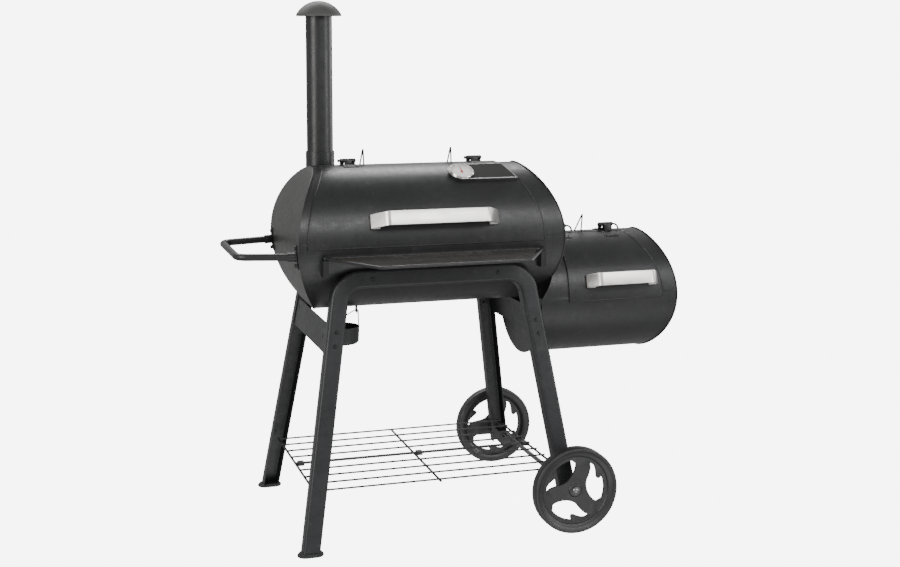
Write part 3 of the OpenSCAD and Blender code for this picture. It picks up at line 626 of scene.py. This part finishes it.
RIVET_R = 3.1 * MM
RIVET_HIGH = 1.9 * MM
RIVET_SINK = 0.2 * MM
RIVET_OFF_MIDDLE = 12 * MM
RIVET_FROM_EDGE = 8 * MM
LEAF_OVER_LID = 2 * MM
LEAF_UNDER_LID = -0.4 * MM
SAME_HINGE = 5 * MM


def islands(node):
    """Boxes of the separate solids in a CAD node."""
    bm = welded(node)
    left = set(bm.verts)
    boxes = []
    while left:
        stack = [left.pop()]
        members = []
        while stack:
            v = stack.pop()
            members.append(v.co.copy())
            for e in v.link_edges:
                other = e.other_vert(v)
                if other in left:
                    left.remove(other)
                    stack.append(other)
        low = Vector(min(c[k] for c in members) for k in range(3))
        high = Vector(max(c[k] for c in members) for k in range(3))
        boxes.append((low, high))
    bm.free()
    return sorted(boxes, key=lambda pair: pair[0].x)


def dome(bm, foot, out, radius, height, sides=20, rings=4):
    """Domed rivet head standing on foot and pointing out."""
    side = out.orthogonal().normalized()
    other = out.cross(side)
    loops = []
    for r in range(rings):
        a = math.pi / 2 * r / rings
        loops.append([
            bm.verts.new(foot + (side * math.cos(t) + other * math.sin(t)) * radius * math.cos(a)
                         + out * height * math.sin(a))
            for t in (2 * math.pi * i / sides for i in range(sides))
        ])
    top = bm.verts.new(foot + out * height)
    for lower, upper in zip(loops, loops[1:]):
        for i in range(sides):
            j = (i + 1) % sides
            bm.faces.new((lower[i], lower[j], upper[j], upper[i]))
    for i in range(sides):
        bm.faces.new((loops[-1][i], loops[-1][(i + 1) % sides], top))
    bm.faces.new(loops[0][::-1])


def middle_x(box):
    return (box[0].x + box[1].x) / 2


def hinge_rivets(name, boxes, drum, leaf_over, at_front, body):
    """A pair of rivets on each leaf, by its front or its back edge."""
    axis, drum_radius = drum_axis(drum)
    radius = drum_radius + leaf_over
    bm = bmesh.new()
    for box in boxes:
        y = box[0].y + RIVET_FROM_EDGE if at_front else box[1].y - RIVET_FROM_EDGE
        out = Vector((0, y - axis.y, math.sqrt(radius**2 - (y - axis.y) ** 2))).normalized()
        for x in (middle_x(box) - RIVET_OFF_MIDDLE, middle_x(box) + RIVET_OFF_MIDDLE):
            foot = Vector((x, axis.y, axis.z)) + out * (radius - RIVET_SINK)
            dome(bm, foot, out, RIVET_R, RIVET_HIGH)
    mesh = new_mesh(name, bm)
    smooth(mesh, RIVET_SHARP_DEG)
    add_object(name, mesh, [MATERIALS["black_paint"]], body)


def all_hinge_rivets():
    fixed = islands("hinge_base_leaves")
    for name, leaves, drum, body in (
        ("chamber_leaf_rivets", "chamber_hinge_leaves", "left_end_plate", "chamber_lid"),
        ("firebox_leaf_rivets", "firebox_hinge_leaves", "firebox_right_plate", "firebox_lid"),
    ):
        moving = islands(leaves)
        hinge_rivets(name, moving, drum, LEAF_OVER_LID, True, body)
        centres = [middle_x(box) for box in moving]
        mates = [box for box in fixed if any(abs(middle_x(box) - c) < SAME_HINGE for c in centres)]
        hinge_rivets(name + "_fixed", mates, drum, LEAF_UNDER_LID, False, "smoker")


# ---------- Pieces made from CAD nodes ----------

# How far each end of a strap handle leans in on its way up to the grip.
CHAMBER_SPLAY = 38 * MM
FIREBOX_SPLAY = 28 * MM
EDGE = {"wheel": 1.1 * MM, "sheet": 0.55 * MM, "bar": 1.2 * MM, "small": 0.3 * MM, "plate": 0.6 * MM}

SOFT_EDGES = {
    "sheet": [
        "cooking_chamber", "left_end_plate", "right_end_plate", "firebox_body", "firebox_left_plate",
        "firebox_right_plate", "chamber_lid", "firebox_lid", "air_slider", "air_slider_rails",
    ],
    "plate": ["left_side_plate", "right_side_plate", "chimney_collar", "chimney_cap"],
    "bar": [
        "front_beam", "rear_beam", "front_left_elbow", "front_right_elbow", "rear_left_elbow",
        "rear_right_elbow", "front_left_leg", "front_right_leg", "rear_left_leg", "rear_right_leg",
        "left_feet", "front_shelf_brackets", "thermometer_case", "bottom_shelf_clips",
        "side_handle_flanges",
    ],
    "small": [
        "hinge_base_leaves", "chamber_hinge_leaves", "firebox_hinge_leaves", "frame_screws",
        "chamber_handle_screws", "firebox_handle_screws", "badge_trim", "grease_cup",
        "axle_fittings", "thermometer_bezel",
    ],
    "wheel": ["front_wheel", "rear_wheel"],
}

for kind, members in SOFT_EDGES.items():
    for member in members:
        finished(member, EDGE[kind])

strap_handle("chamber_lid_handle", "left_end_plate", CHAMBER_SPLAY, "chamber_lid")
strap_handle("firebox_lid_handle", "firebox_right_plate", FIREBOX_SPLAY, "firebox_lid")
lid_hem("chamber_lid", "left_end_plate", "chamber_lid")
lid_hem("firebox_lid", "firebox_right_plate", "firebox_lid")
shelf_mesh()
dial_face()
badge_plate()
all_hinge_rivets()

for node, shown in NODES.items():
    shown.data.materials.clear()
    shown.data.materials.append(look_of(node))

# ---------- Studio ----------


def softbox(name, place, target, size, power, colour=(1, 1, 1)):
    light = bpy.data.lights.new(name, "AREA")
    light.shape = "RECTANGLE"
    light.size, light.size_y = size
    light.energy = power
    light.color = colour
    lamp = bpy.data.objects.new(name, light)
    bpy.context.scene.collection.objects.link(lamp)
    lamp.location = place
    lamp.rotation_euler = (Vector(target) - Vector(place)).to_track_quat("-Z", "Y").to_euler()


def studio_air():
    """White to the camera, dimmer as a light, so that dark paint stays dark."""
    world = bpy.data.worlds.new("studio_air")
    world.use_nodes = True
    tree = world.node_tree
    seen = tree.nodes["Background"]
    seen.inputs["Color"].default_value = (1, 1, 1, 1)
    seen.inputs["Strength"].default_value = 7
    lit = tree.nodes.new("ShaderNodeBackground")
    lit.inputs["Color"].default_value = (1, 1, 1, 1)
    lit.inputs["Strength"].default_value = 0.5
    path = tree.nodes.new("ShaderNodeLightPath")
    either = tree.nodes.new("ShaderNodeMixShader")
    tree.links.new(path.outputs["Is Camera Ray"], either.inputs["Fac"])
    tree.links.new(lit.outputs["Background"], either.inputs[1])
    tree.links.new(seen.outputs["Background"], either.inputs[2])
    tree.links.new(either.outputs["Shader"], tree.nodes["World Output"].inputs["Surface"])
    bpy.context.scene.world = world


def studio_lights():
    aim = (0, 0, 0.75)
    softbox("front_bank", (0.9, -3.9, 2.9), aim, (3.4, 1.0), 105)
    softbox("overhead_back_bank", (-0.2, 2.3, 3.4), aim, (3.6, 0.9), 125)
    softbox("left_wall", (-3.3, -1.5, 1.6), aim, (1.6, 2.6), 95, (1.0, 0.985, 0.96))
    softbox("right_edge", (3.4, 1.2, 1.7), aim, (1.2, 2.2), 60)
    softbox("right_front_fill", (3.2, -2.6, 1.3), aim, (1.6, 2.2), 60)
    softbox("low_bounce", (0.2, -2.6, -1.6), (0, 0, 0.6), (3.5, 2.0), 40)


def studio_camera():
    lens = bpy.data.cameras.new("studio_camera")
    lens.sensor_width = 36.0
    lens.lens = 54.57
    lens.shift_x = 0.0374
    lens.shift_y = -0.066
    camera = bpy.data.objects.new("studio_camera", lens)
    bpy.context.scene.collection.objects.link(camera)
    camera.location = (-1.1213, -3.4015, 1.2702)
    camera.rotation_euler = (math.pi / 2 - 0.1391, 0, -0.2894)
    bpy.context.scene.camera = camera


studio_air()
studio_lights()
studio_camera()
